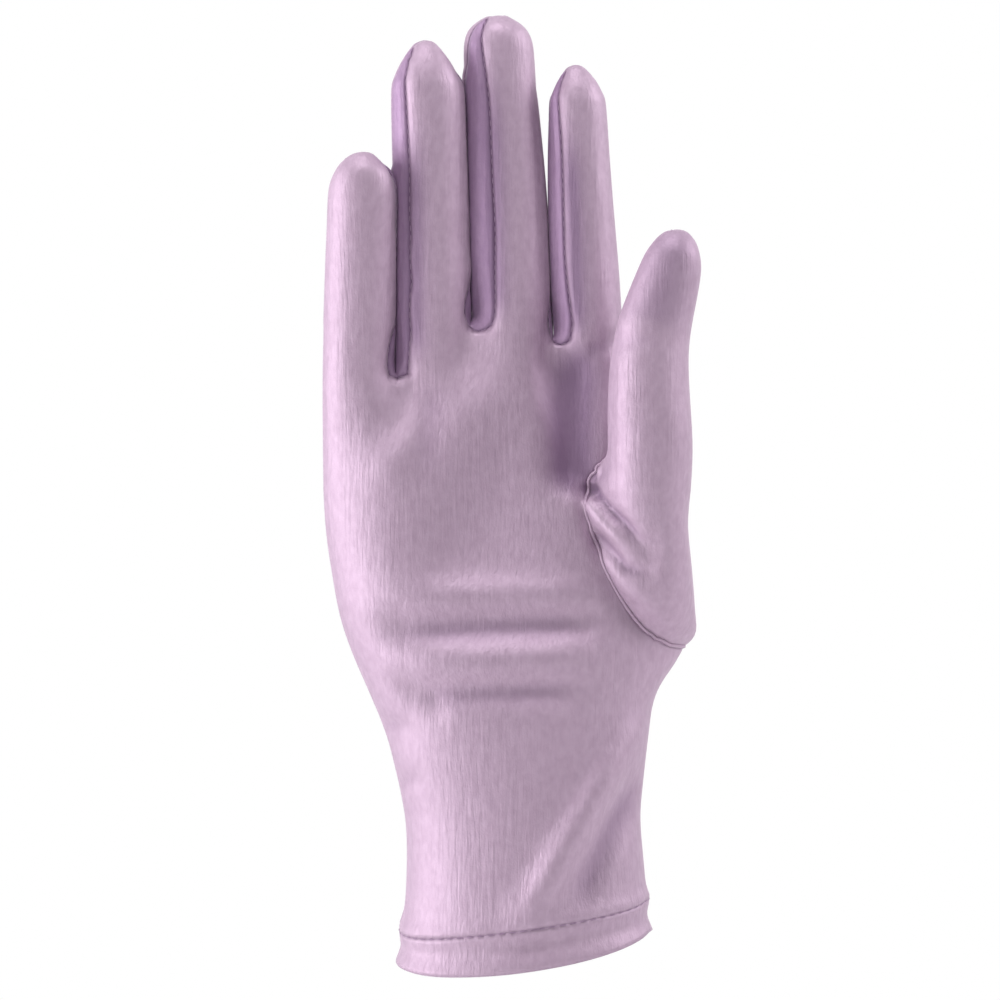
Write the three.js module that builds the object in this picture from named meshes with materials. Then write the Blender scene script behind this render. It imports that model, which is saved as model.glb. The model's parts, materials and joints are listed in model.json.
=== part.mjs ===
import * as THREE from 'three'

// A wrist length dress glove of stretch satin, for a right hand, in the shape that it has when worn.
// Millimetres. +Z runs from the wrist to the fingertips, the palm faces -Y, the thumb is on the +X side.
// The origin is the middle of the wrist opening.
// The outer skin is laid out once as a net of four-sided cells. Each piece takes its own cells and
// gets its thickness inwards, with a seam gap to its neighbours.

// Cloth
const CLOTH_THICKNESS = 1.0
const HEM_THICKNESS = 1.8
const HEM_STEP = 0.3
const SEAM_GAP = 0.3

// Wrist
const WRIST_WIDTH = 60
const WRIST_DEPTH = 40
const HEM_HEIGHT = 10.5
const HEM_SIDE_SHARE = 0.74
const HEM_SLOPE = 6.2
const HEM_DIP = 6.2
const HEM_DIP_TURN = 12

// Palm, from the wrist opening to the line of the finger forks
const PALM_LENGTH = 150
const PALM_DEPTH = 28
const KNUCKLE_LENGTH = 26
const FORK_GAP = 0.6
const FORK_RISE = 2.5
const FORK_BACK_DROP = 2

// Fingers. The width and depth are at the fork, the length runs up from the line of the forks, tip is
// the rounded end, lean is the tip's move towards the thumb, forward and curl are the moves
// towards the palm at the fork and from there to the tip. The seams are degrees from the middle of the
// front, at the fork and above it, and an outer side has a plain side seam.
const FINGERS = [
  {
    name: 'little', width: 17.8, depth: 15.5, length: 49.5, lean: 1.3, forward: 3.2, curl: 6.5,
    taper: 0.95, tip: 11, tipPower: 1.8,
    leftSeam: null, rightSeam: { fork: 60, above: 84 },
  },
  {
    name: 'ring', width: 18.8, depth: 16, length: 78, lean: -2.0, forward: 1.2, curl: 4.6,
    taper: 0.97, tip: 14, tipPower: 1.5,
    leftSeam: { fork: -42, above: -33 }, rightSeam: { fork: 60, above: 88 },
  },
  {
    name: 'middle', width: 19.8, depth: 16.5, length: 83.8, lean: -4.0, forward: 0, curl: 1,
    taper: 0.9, tip: 10, tipPower: 2.1,
    leftSeam: { fork: -30, above: -21 }, rightSeam: { fork: 60, above: 94 },
  },
  {
    name: 'index', width: 17, depth: 15.5, length: 71.8, lean: -3.5, forward: 0.5, curl: 2.5,
    taper: 0.84, tip: 11, tipPower: 1.55,
    leftSeam: { fork: -30, above: -40 }, rightSeam: null,
  },
]
const STRIP_ANGLE = { fork: 88, above: 54, tip: 26 }
const OUTER_SEAM_TURN = 6
const CURL_POWER = 1.6

// Shares of a finger's way up at which its seams have spread, its strips narrow, and it tapers
const SEAMS_SPREAD_BY = 0.3
const STRIPS_NARROW_FROM = 0.75
const TAPER_FROM = 0.1
const TAPER_BY = 0.95

// Heights of the forks over the line of the forks, from the outer side of the little finger on
const FORK_HEIGHTS = [-3, -7, 5.8, 2, 1]

// Thumb. The length runs from the top of its hole to its tip.
const THUMB_WIDTH = 21.5
const THUMB_DEPTH = 19
const THUMB_LENGTH = 55
const THUMB_TIP = 11
const THUMB_TIP_POWER = 2

// The thumb hole: its middle and half width round the palm in degrees, its middle's height as a share of
// PALM_LENGTH and its half height in millimetres. Its top leans towards the palm.
const THUMB_HOLE = { middle: 82, halfAngle: 50, up: 0.667, halfHeight: 24.3, power: 2.7, lean: -9 }

// Sections of the glove below the forks. Up is a share of PALM_LENGTH. Left, right, palmSide and backSide
// are shares of the width and depth of what the row follows.
const BODY_SECTIONS = [
  { up: -0.1, follows: 'wrist', left: 0.545, right: 0.54, palmSide: 0.52, backSide: 0.52, power: 2.0 },
  { up: 0.0, follows: 'wrist', left: 0.528, right: 0.53, palmSide: 0.51, backSide: 0.51, power: 2.0 },
  { up: 0.08, follows: 'wrist', left: 0.502, right: 0.512, palmSide: 0.5, backSide: 0.5, power: 2.0 },
  { up: 0.16, follows: 'wrist', left: 0.494, right: 0.494, palmSide: 0.49, backSide: 0.49, power: 2.0 },
  { up: 0.22, follows: 'wrist', left: 0.502, right: 0.483, palmSide: 0.49, backSide: 0.48, power: 2.0 },
  { up: 0.28, follows: 'wrist', left: 0.53, right: 0.494, palmSide: 0.49, backSide: 0.48, power: 2.05 },
  { up: 0.35, follows: 'wrist', left: 0.573, right: 0.512, palmSide: 0.5, backSide: 0.47, power: 2.1 },
  { up: 0.42, follows: 'palm', left: 0.51, right: 0.428, palmSide: 0.72, backSide: 0.64, power: 2.15 },
  { up: 0.48, follows: 'palm', left: 0.563, right: 0.47, palmSide: 0.72, backSide: 0.61, power: 2.2 },
  { up: 0.55, follows: 'palm', left: 0.613, right: 0.5, palmSide: 0.69, backSide: 0.58, power: 2.25 },
  { up: 0.62, follows: 'palm', left: 0.641, right: 0.495, palmSide: 0.64, backSide: 0.55, power: 2.3 },
  { up: 0.7, follows: 'palm', left: 0.664, right: 0.468, palmSide: 0.58, backSide: 0.53, power: 2.3 },
  { up: 0.78, follows: 'palm', left: 0.673, right: 0.425, palmSide: 0.54, backSide: 0.52, power: 2.3 },
  { up: 0.86, follows: 'palm', left: 0.674, right: 0.375, palmSide: 0.51, backSide: 0.51, power: 2.3 },
  { up: 0.94, follows: 'palm', left: 0.676, right: 0.335, palmSide: 0.49, backSide: 0.5, power: 2.3 },
  { up: 1.06, follows: 'palm', left: 0.674, right: 0.326, palmSide: 0.46, backSide: 0.47, power: 2.3 },
]

// Sections of the thumb above its hole. Along is a share of THUMB_LENGTH, across and forward are shares
// of THUMB_WIDTH and THUMB_DEPTH from the palm's edge, and girth is a share of both.
const THUMB_SECTIONS = [
  { along: 0.04, across: 0.3, forward: 0.92, girth: 0.98 },
  { along: 0.24, across: 0.28, forward: 0.96, girth: 0.95 },
  { along: 0.48, across: 0.3, forward: 0.99, girth: 0.885 },
  { along: 0.66, across: 0.41, forward: 1.0, girth: 0.8 },
  { along: 0.82, across: 0.53, forward: 1.05, girth: 0.71 },
  { along: 1.0, across: 0.64, forward: 1.1, girth: 0.66 },
]
const THUMB_TURN = 333
const THUMB_SWELL = { start: 0.24, end: 0.36, lift: 0.4 }

// Soft folds and hollows in the cloth. Across is a share of the palm's width, up a share of PALM_LENGTH,
// height and spread are shares of FOLD_HEIGHT and FOLD_SPREAD.
const FOLD_HEIGHT = 1.6
const FOLD_SPREAD = 4.5
const FOLDS = [
  { name: 'upper heel crease', side: -1, from: [-0.42, 0.545], to: [0.22, 0.56], height: -1.1, spread: 0.8 },
  { name: 'lower heel crease', side: -1, from: [-0.38, 0.44], to: [0.14, 0.45], height: -1.0, spread: 0.8 },
  { name: 'wrist ridge', side: -1, from: [0.35, 0.36], to: [0.01, 0.07], height: 1.3, spread: 1.0 },
  { name: 'hollow of the palm', side: -1, from: [-0.16, 0.68], to: [-0.06, 0.84], height: -1.6, spread: 3.2 },
  { name: 'heel of the hand', side: -1, from: [-0.45, 0.62], to: [-0.48, 0.76], height: 0.8, spread: 2.4 },
  { name: 'thumb pleat', side: -1, from: [0.21, 0.775], to: [0.42, 0.66], height: -1.2, spread: 0.55 },
  { name: 'thumb fold', side: -1, from: [0.23, 0.7], to: [0.43, 0.62], height: -0.8, spread: 0.55 },
  { name: 'left wrist pucker', side: -1, from: [-0.47, 0.37], to: [-0.3, 0.4], height: -0.9, spread: 0.6 },
  { name: 'back wrist bend', side: 1, from: [-0.4, 0.4], to: [0.34, 0.42], height: -0.9, spread: 1.0 },
]

// Counts of cells. A finger has the same number on its front and back. Its spots run round it from the
// middle of its left strip or seam, over the front, to the middle of its right one, and back.
const FINGER_CELLS = 5
const OUTER_CELLS = 1
const FINGER_SPOTS = 2 * (FINGER_CELLS + 2)
const RIGHT_SPOT = FINGER_SPOTS / 2
const LAST_SPOT = FINGER_SPOTS - 1
const HEM_ROWS = 2
const PALM_ROWS = 26
const FINGER_ROWS = 6
const ROOT_ROWS = 6
const THUMB_ROWS = 5
const TIP_RINGS = [90, 66, 46]
const TIP_SEAM_ANGLE = 34
const HOLE_ROWS = { first: 12, last: 20 }
const HOLE_BACK_CELLS = 4
const SETTLING_ROUNDS = 120

const SATIN = new THREE.Color(0.62, 0.5, 0.63)

const radians = THREE.MathUtils.degToRad
const degrees = THREE.MathUtils.radToDeg
const mix = THREE.MathUtils.lerp
const ease = (value) => THREE.MathUtils.smoothstep(value, 0, 1)

// A power of the size of a value that keeps its sign
function bend(value, power) {
  return Math.sign(value) * Math.abs(value) ** power
}

// The value of one column of a table at a place between its rows, on a smooth curve through them
function readTable(rows, placeName, place, column) {
  const last = rows.length - 1
  let row = 0
  while (row < last - 1 && rows[row + 1][placeName] < place) row += 1
  const slope = (index) => {
    const before = rows[Math.max(0, index - 1)]
    const after = rows[Math.min(last, index + 1)]
    return (after[column] - before[column]) / (after[placeName] - before[placeName])
  }
  const start = rows[row]
  const end = rows[row + 1]
  const length = end[placeName] - start[placeName]
  const share = THREE.MathUtils.clamp((place - start[placeName]) / length, 0, 1)
  const square = share * share
  const cube = square * share
  return (
    (2 * cube - 3 * square + 1) * start[column] + (cube - 2 * square + share) * length * slope(row) +
    (3 * square - 2 * cube) * end[column] + (cube - square) * length * slope(row + 1)
  )
}

// The palm is as wide as its four fingers side by side
const palmWidth = FINGERS.reduce((sum, finger) => sum + finger.width, FORK_GAP * (FINGERS.length - 1))
const FOLLOWED = {
  wrist: { width: WRIST_WIDTH, depth: WRIST_DEPTH },
  palm: { width: palmWidth, depth: PALM_DEPTH },
}
const bodyRows = BODY_SECTIONS.map((row) => ({
  height: row.up * PALM_LENGTH,
  left: -row.left * FOLLOWED[row.follows].width,
  right: row.right * FOLLOWED[row.follows].width,
  palmSide: row.palmSide * FOLLOWED[row.follows].depth,
  backSide: row.backSide * FOLLOWED[row.follows].depth,
  power: row.power,
}))

function bodySection(height) {
  const read = (column) => readTable(bodyRows, 'height', height, column)
  const left = read('left')
  const right = read('right')
  return {
    middle: (left + right) / 2,
    half: (right - left) / 2,
    palmSide: read('palmSide'),
    backSide: read('backSide'),
    power: read('power'),
  }
}

// A point on the glove below the forks. The angle is 0 at the middle of the palm, 90 on the thumb side.
function bodyPoint(angle, height) {
  const section = bodySection(height)
  const across = Math.sin(radians(angle))
  const forward = Math.cos(radians(angle))
  const depth = forward > 0 ? section.palmSide : section.backSide
  return new THREE.Vector3(
    section.middle + section.half * bend(across, 2 / section.power),
    -depth * bend(forward, 2 / section.power),
    height,
  )
}

// The angle at which the glove's side lies a given distance across
function angleAcross(across, height, front) {
  const section = bodySection(height)
  const share = THREE.MathUtils.clamp((across - section.middle) / section.half, -1, 1)
  const angle = degrees(Math.asin(bend(share, section.power / 2)))
  return front ? angle : 180 - angle
}

// The net of cells: points, and four-sided cells whose corners run anticlockwise seen from outside
const points = []
const cells = []

function addPoint(point) {
  points.push(point)
  return points.length - 1
}

function addCell(piece, corners) {
  cells.push({ piece, corners })
}

// Fingers
let edge = bodyRows.at(-1).left
for (const finger of FINGERS) {
  finger.middle = edge + finger.width / 2
  edge += finger.width + FORK_GAP
}
const forkHeights = FORK_HEIGHTS.map((height) => PALM_LENGTH + height)

// The angles of a finger's spots at a share of the way from its fork to its tip
function fingerAngles(finger, share) {
  const above = ease(share / SEAMS_SPREAD_BY)
  const narrowing = ease((share - STRIPS_NARROW_FROM) / (1 - STRIPS_NARROW_FROM))
  const fullStrip = mix(STRIP_ANGLE.fork, STRIP_ANGLE.above, above)
  const strip = mix(fullStrip, STRIP_ANGLE.tip, narrowing)
  const slack = (fullStrip - strip) / 2
  const left = finger.leftSeam && mix(finger.leftSeam.fork, finger.leftSeam.above, above) - slack
  const right = finger.rightSeam && mix(finger.rightSeam.fork, finger.rightSeam.above, above) + slack
  const leftPole = finger.leftSeam ? left - strip / 2 : -90 - OUTER_SEAM_TURN
  const rightPole = finger.rightSeam ? right + strip / 2 : 90 + OUTER_SEAM_TURN
  const front = { start: finger.leftSeam ? left : leftPole, end: finger.rightSeam ? right : rightPole }
  const back = {
    start: finger.rightSeam ? right + strip : rightPole,
    end: (finger.leftSeam ? left - strip : leftPole) + 360,
  }
  const count = FINGER_CELLS + (finger.leftSeam && finger.rightSeam ? 0 : OUTER_CELLS)
  const steps = Array.from({ length: count + 1 }, (_, step) => step / count)
  const spread = (range) => steps.map((step) => mix(range.start, range.end, step))
  const frontAngles = finger.leftSeam ? [leftPole, ...spread(front)] : spread(front)
  const backAngles = spread(back)
  if (finger.rightSeam) frontAngles.push(rightPole)
  if (!finger.rightSeam) backAngles.shift()
  if (!finger.leftSeam) backAngles.pop()
  return [...frontAngles, ...backAngles]
}

// A point of a finger at a share of its way up, at an angle round it and with its girth as a share
function fingerPoint(finger, share, angle, girth, height) {
  const taper = mix(1, finger.taper, ease((share - TAPER_FROM) / (TAPER_BY - TAPER_FROM)))
  const across = finger.middle + finger.lean * share
  const forward = finger.forward + finger.curl * share ** CURL_POWER
  return new THREE.Vector3(
    across + (finger.width / 2) * taper * girth * Math.sin(radians(angle)),
    -forward - (finger.depth / 2) * taper * girth * Math.cos(radians(angle)),
    height,
  )
}

// The columns of the palm and back from the little finger's side seam round the front, and back again.
// Each top place belongs to one finger.
const columns = []
FINGERS.forEach((finger, order) => {
  const angles = fingerAngles(finger, 0)
  const first = finger.leftSeam ? 1 : 0
  const last = finger.rightSeam ? RIGHT_SPOT - 1 : RIGHT_SPOT
  for (let spot = first; spot <= last; spot += 1) {
    const share = (spot - first) / (last - first)
    const height = mix(forkHeights[order], forkHeights[order + 1], share)
    columns.push({ order, spot, front: true, place: fingerPoint(finger, 0, angles[spot], 1, height) })
  }
})
const frontCells = columns.length - 1
for (let order = FINGERS.length - 1; order >= 0; order -= 1) {
  const finger = FINGERS[order]
  const angles = fingerAngles(finger, 0)
  for (let spot = RIGHT_SPOT + 1; spot <= LAST_SPOT; spot += 1) {
    const share = (spot - RIGHT_SPOT) / RIGHT_SPOT
    const height = mix(forkHeights[order + 1], forkHeights[order], share) - FORK_BACK_DROP
    columns.push({ order, spot, front: false, place: fingerPoint(finger, 0, angles[spot], 1, height) })
  }
}
const columnCount = columns.length

// Places of the palm's net as an angle round the glove and a height, before the thumb hole is let in
function evenAngle(column) {
  if (column <= frontCells) return mix(-90, 90, column / frontCells)
  return mix(90, 270, (column - frontCells) / (columnCount - frontCells))
}

function topAngle(column) {
  const { place, front } = columns[column]
  if (column === 0) return -90
  if (column === frontCells) return 90
  return angleAcross(place.x, place.z, front)
}

// The edge of the wrist opening, higher on the thumb side and lowest on the palm side, and the stitching
// over it, which comes nearer to the edge at the sides
function openingHeight(angle) {
  const across = Math.sin(radians(angle))
  const forward = Math.max(0, Math.cos(radians(angle + HEM_DIP_TURN)))
  return (HEM_SLOPE / 2) * (across + 0.6) - HEM_DIP * forward
}

function stitchingHeight(angle) {
  const across = Math.sin(radians(angle))
  return openingHeight(angle) + HEM_HEIGHT * mix(1, HEM_SIDE_SHARE, across * across)
}

const rowCount = HEM_ROWS + PALM_ROWS
const net = []
for (let row = 0; row <= rowCount; row += 1) {
  const share = Math.max(0, row - HEM_ROWS) / PALM_ROWS
  net.push(columns.map((column, index) => {
    const angle = mix(evenAngle(index), topAngle(index), ease(share))
    const stitching = stitchingHeight(angle)
    const height = row < HEM_ROWS
      ? mix(openingHeight(angle), stitching, row / HEM_ROWS)
      : mix(stitching, column.place.z, share)
    return { angle, height, fixed: row <= HEM_ROWS || row === rowCount }
  }))
}

// The thumb hole takes out a block of cells. The points round the block go to a rounded outline.
const hole = {
  left: frontCells - FINGER_CELLS - OUTER_CELLS,
  right: frontCells + HOLE_BACK_CELLS,
  bottom: HEM_ROWS + HOLE_ROWS.first,
  top: HEM_ROWS + HOLE_ROWS.last,
}
const holeHeight = THUMB_HOLE.up * PALM_LENGTH
const holeColumns = hole.right - hole.left
const holeRows = hole.top - hole.bottom
const holeRing = []
for (let row = Math.ceil(holeRows / 2); row < holeRows; row += 1) holeRing.push([hole.bottom + row, hole.right])
for (let column = 0; column < holeColumns; column += 1) holeRing.push([hole.top, hole.right - column])
for (let row = 0; row < holeRows; row += 1) holeRing.push([hole.top - row, hole.left])
for (let column = 0; column < holeColumns; column += 1) holeRing.push([hole.bottom, hole.left + column])
for (let row = 0; row < Math.ceil(holeRows / 2); row += 1) holeRing.push([hole.bottom + row, hole.right])
holeRing.forEach(([row, column], index) => {
  const turn = radians((360 * index) / holeRing.length)
  const spot = net[row][column]
  const beside = bend(Math.cos(turn), 2 / THUMB_HOLE.power)
  const above = bend(Math.sin(turn), 2 / THUMB_HOLE.power)
  spot.angle = THUMB_HOLE.middle + THUMB_HOLE.halfAngle * beside + THUMB_HOLE.lean * above
  spot.height = holeHeight + THUMB_HOLE.halfHeight * above
  spot.fixed = true
})

function inHole(row, column) {
  return row > hole.bottom && row < hole.top && column > hole.left && column < hole.right
}

// The rest of the net settles evenly between its fixed points
for (let round = 0; round < SETTLING_ROUNDS; round += 1) {
  for (let row = HEM_ROWS + 1; row < rowCount; row += 1) {
    for (let column = 0; column < columnCount; column += 1) {
      const spot = net[row][column]
      if (spot.fixed || inHole(row, column)) continue
      const next = net[row][(column + 1) % columnCount]
      const previous = net[row][(column + columnCount - 1) % columnCount]
      const nextAngle = next.angle + (column + 1 === columnCount ? 360 : 0)
      const previousAngle = previous.angle - (column === 0 ? 360 : 0)
      const above = net[row + 1][column]
      const below = net[row - 1][column]
      spot.angle = (nextAngle + previousAngle + above.angle + below.angle) / 4
      spot.height = (next.height + previous.height + above.height + below.height) / 4
    }
  }
}

// The net's points in space. Towards the forks they go over into the roots of the fingers.
net.forEach((line, row) => {
  line.forEach((spot, column) => {
    if (inHole(row, column)) return
    const { place } = columns[column]
    const base = bodyPoint(spot.angle, spot.height)
    const share = ease(1 - (place.z - spot.height) / KNUCKLE_LENGTH)
    const across = mix(base.x, place.x, share)
    const forward = mix(base.y, place.y, share)
    spot.point = addPoint(new THREE.Vector3(across, forward, spot.height))
  })
})

for (let row = 0; row < rowCount; row += 1) {
  for (let column = 0; column < columnCount; column += 1) {
    const inBlock = column >= hole.left && column < hole.right
    if (inBlock && row >= hole.bottom && row < hole.top) continue
    const next = (column + 1) % columnCount
    const panel = column < frontCells ? 'palm_panel' : 'back_panel'
    const corners = [net[row][column], net[row][next], net[row + 1][next], net[row + 1][column]]
    addCell(row < HEM_ROWS ? 'wrist_hem' : panel, corners.map((spot) => spot.point))
  }
}

// The forks, each with a point on either side in the middle of its strip
const forks = []
for (let order = 0; order + 1 < FINGERS.length; order += 1) {
  const [left, right] = [FINGERS[order], FINGERS[order + 1]]
  const height = forkHeights[order + 1] + FORK_RISE
  const leftPlace = fingerPoint(left, 0, fingerAngles(left, 0)[RIGHT_SPOT], 1, height)
  const rightPlace = fingerPoint(right, 0, fingerAngles(right, 0)[0], 1, height)
  const name = `fourchette_${left.name}_${right.name}`
  const find = (finger, spot) => net[rowCount][columns.findIndex(
    (column) => column.order === finger && column.spot === spot)].point
  const fork = {
    name,
    left: addPoint(leftPlace),
    right: addPoint(rightPlace),
    frontLeft: find(order, RIGHT_SPOT - 1),
    frontRight: find(order + 1, 1),
    backLeft: find(order, RIGHT_SPOT + 1),
    backRight: find(order + 1, LAST_SPOT),
  }
  forks.push(fork)
  addCell(name, [fork.frontLeft, fork.frontRight, fork.right, fork.left])
  addCell(name, [fork.left, fork.right, fork.backRight, fork.backLeft])
}

// The piece that a cell of a finger belongs to, by its place round the finger
function fingerPiece(order, spot) {
  const finger = FINGERS[order]
  if (finger.leftSeam && (spot === 0 || spot === LAST_SPOT)) return forks[order - 1].name
  if (finger.rightSeam && (spot === RIGHT_SPOT - 1 || spot === RIGHT_SPOT)) return forks[order].name
  return spot < RIGHT_SPOT ? 'palm_panel' : 'back_panel'
}

// Cells between two rings with the same number of points
function joinRings(lower, upper, pieceAt) {
  lower.forEach((point, spot) => {
    const next = (spot + 1) % lower.length
    addCell(pieceAt(spot), [point, lower[next], upper[next], upper[spot]])
  })
}

// Closes a ring over its top along a seam from its first point to the one opposite
function closeTip(ring, seam, pieceAt) {
  const half = ring.length / 2
  ring.forEach((point, spot) => {
    const next = (spot + 1) % ring.length
    const seamSpot = spot < half ? spot : ring.length - spot
    const seamNext = spot < half ? spot + 1 : ring.length - spot - 1
    addCell(pieceAt(spot), [point, ring[next], seam[seamNext], seam[seamSpot]])
  })
}

FINGERS.forEach((finger, order) => {
  const spots = Array.from({ length: FINGER_SPOTS }, (_, spot) => spot)
  let ring = spots.map((spot) => {
    if (spot === 0 && finger.leftSeam) return forks[order - 1].right
    if (spot === RIGHT_SPOT && finger.rightSeam) return forks[order].left
    return net[rowCount][columns.findIndex((column) => column.order === order && column.spot === spot)].point
  })
  const base = ring.map((point) => points[point].z)
  const low = (forkHeights[order] + forkHeights[order + 1]) / 2
  const tipHeight = PALM_LENGTH + finger.length
  const shoulder = tipHeight - finger.tip
  const pieceAt = (spot) => fingerPiece(order, spot)
  for (let row = 1; row < FINGER_ROWS; row += 1) {
    const rise = row / FINGER_ROWS
    const share = mix(low, shoulder, rise)
    const along = (share - low) / (tipHeight - low)
    const angles = fingerAngles(finger, along)
    const upper = spots.map((spot) => addPoint(
      fingerPoint(finger, along, angles[spot], 1, mix(base[spot], shoulder, rise))))
    joinRings(ring, upper, pieceAt)
    ring = upper
  }
  const domeHeight = (girth) => (1 - girth ** finger.tipPower) ** (1 / finger.tipPower)
  for (const slope of TIP_RINGS) {
    const girth = Math.sin(radians(slope))
    const height = shoulder + finger.tip * domeHeight(Math.min(1, girth))
    const along = (height - low) / (tipHeight - low)
    const angles = fingerAngles(finger, along)
    const upper = spots.map((spot) => addPoint(fingerPoint(finger, along, angles[spot], girth, height)))
    joinRings(ring, upper, pieceAt)
    ring = upper
  }
  const endAngles = fingerAngles(finger, 1)
  const seam = Array.from({ length: RIGHT_SPOT + 1 }, (_, step) => {
    const tilt = mix(-TIP_SEAM_ANGLE, TIP_SEAM_ANGLE, step / RIGHT_SPOT)
    const girth = Math.sin(radians(Math.abs(tilt)))
    const height = shoulder + finger.tip * domeHeight(girth)
    return addPoint(fingerPoint(finger, 1, endAngles[tilt < 0 ? 0 : RIGHT_SPOT], girth, height))
  })
  closeTip(ring, seam, pieceAt)
})

// Thumb. Its axis goes through the middles of its sections, and each section stands square to it.
const holeTop = holeHeight + THUMB_HOLE.halfHeight
const palmEdge = bodyRows.at(-1).right
const thumbRows = THUMB_SECTIONS.map((row) => ({
  height: holeTop + row.along * THUMB_LENGTH,
  across: palmEdge + row.across * THUMB_WIDTH,
  forward: row.forward * THUMB_DEPTH,
  girth: row.girth,
}))

function thumbMiddle(height) {
  const across = readTable(thumbRows, 'height', height, 'across')
  return new THREE.Vector3(across, -readTable(thumbRows, 'height', height, 'forward'), height)
}

function thumbPoint(height, angle, girth) {
  const middle = thumbMiddle(height)
  const step = 1
  const axis = thumbMiddle(height + step).sub(thumbMiddle(height - step)).normalize()
  const side = axis.clone().cross(new THREE.Vector3(0, -1, 0)).normalize()
  const front = new THREE.Vector3().crossVectors(axis, side).normalize()
  const size = readTable(thumbRows, 'height', height, 'girth') * girth
  return middle
    .addScaledVector(side, (THUMB_WIDTH / 2) * size * Math.cos(radians(angle)))
    .addScaledVector(front, -(THUMB_DEPTH / 2) * size * Math.sin(radians(angle)))
}

const thumbSpots = holeRing.map((_, index) => index)
const thumbAngle = (index) => THUMB_TURN - (360 * index) / holeRing.length
const firstHeight = thumbRows[0].height
const shoulderHeight = holeTop + THUMB_LENGTH - THUMB_TIP
let thumbRing = holeRing.map(([row, column]) => net[row][column].point)

// The root of the thumb swells out of its hole and turns up into the stall
const rootCurves = holeRing.map(([row, column], index) => {
  const spot = net[row][column]
  const start = points[spot.point].clone()
  const beside = bodyPoint(spot.angle + 1, spot.height).sub(bodyPoint(spot.angle - 1, spot.height))
  const up = bodyPoint(spot.angle, spot.height + 1).sub(bodyPoint(spot.angle, spot.height - 1))
  const outward = beside.cross(up).normalize()
  const end = thumbPoint(firstHeight, thumbAngle(index), 1)
  const rise = thumbMiddle(firstHeight + 1).sub(thumbMiddle(firstHeight)).normalize()
  const reach = start.distanceTo(end)
  const towards = end.clone().sub(start).normalize()
  const leaving = outward.lerp(towards, THUMB_SWELL.lift).normalize()
  return new THREE.CubicBezierCurve3(
    start,
    start.clone().addScaledVector(leaving, reach * THUMB_SWELL.start),
    end.clone().addScaledVector(rise, -reach * THUMB_SWELL.end),
    end,
  )
})
for (let row = 1; row <= ROOT_ROWS; row += 1) {
  const upper = rootCurves.map((curve) => addPoint(curve.getPoint(row / ROOT_ROWS)))
  joinRings(thumbRing, upper, () => 'thumb')
  thumbRing = upper
}
for (let row = 1; row < THUMB_ROWS; row += 1) {
  const height = mix(firstHeight, shoulderHeight, row / THUMB_ROWS)
  const upper = thumbSpots.map((index) => addPoint(thumbPoint(height, thumbAngle(index), 1)))
  joinRings(thumbRing, upper, () => 'thumb')
  thumbRing = upper
}
const thumbDome = (girth) => (1 - girth ** THUMB_TIP_POWER) ** (1 / THUMB_TIP_POWER)
for (const slope of TIP_RINGS) {
  const girth = Math.sin(radians(slope))
  const height = shoulderHeight + THUMB_TIP * thumbDome(Math.min(1, girth))
  const upper = thumbSpots.map((index) => addPoint(thumbPoint(height, thumbAngle(index), girth)))
  joinRings(thumbRing, upper, () => 'thumb')
  thumbRing = upper
}
const seamStart = Math.round(((THUMB_TURN - 180) / 360) * holeRing.length)
const turnedRing = thumbSpots.map((index) => thumbRing[(index + seamStart) % holeRing.length])
const halfRing = holeRing.length / 2
const thumbSeam = Array.from({ length: halfRing + 1 }, (_, step) => {
  const tilt = mix(-TIP_SEAM_ANGLE, TIP_SEAM_ANGLE, step / halfRing)
  const girth = Math.sin(radians(Math.abs(tilt)))
  const height = shoulderHeight + THUMB_TIP * thumbDome(girth)
  return addPoint(thumbPoint(height, thumbAngle(seamStart) + (tilt < 0 ? 0 : 180), girth))
})
closeTip(turnedRing, thumbSeam, () => 'thumb')

// Directions out of the skin at its points, each the mean of the cells round it
function skinNormals() {
  const normals = points.map(() => new THREE.Vector3())
  for (const { corners } of cells) {
    const [a, b, c, d] = corners.map((corner) => points[corner])
    const normal = new THREE.Vector3().subVectors(c, a).cross(new THREE.Vector3().subVectors(d, b))
    for (const corner of corners) normals[corner].add(normal)
  }
  return normals.map((normal) => normal.normalize())
}

// Presses the folds and hollows into the skin
function addFolds() {
  const normals = skinNormals()
  const moves = points.map((point, index) => {
    let move = 0
    for (const fold of FOLDS) {
      const facing = normals[index].y * fold.side
      if (facing <= 0) continue
      const start = new THREE.Vector2(fold.from[0] * palmWidth, fold.from[1] * PALM_LENGTH)
      const end = new THREE.Vector2(fold.to[0] * palmWidth, fold.to[1] * PALM_LENGTH)
      const along = end.clone().sub(start)
      const place = new THREE.Vector2(point.x, point.z).sub(start)
      const share = THREE.MathUtils.clamp(place.dot(along) / along.lengthSq(), 0, 1)
      const distance = place.addScaledVector(along, -share).length() / (fold.spread * FOLD_SPREAD)
      move += facing * fold.height * FOLD_HEIGHT * Math.exp(-distance * distance)
    }
    return move
  })
  points.forEach((point, index) => point.addScaledVector(normals[index], moves[index]))
}
addFolds()
const normals = skinNormals()

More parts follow.
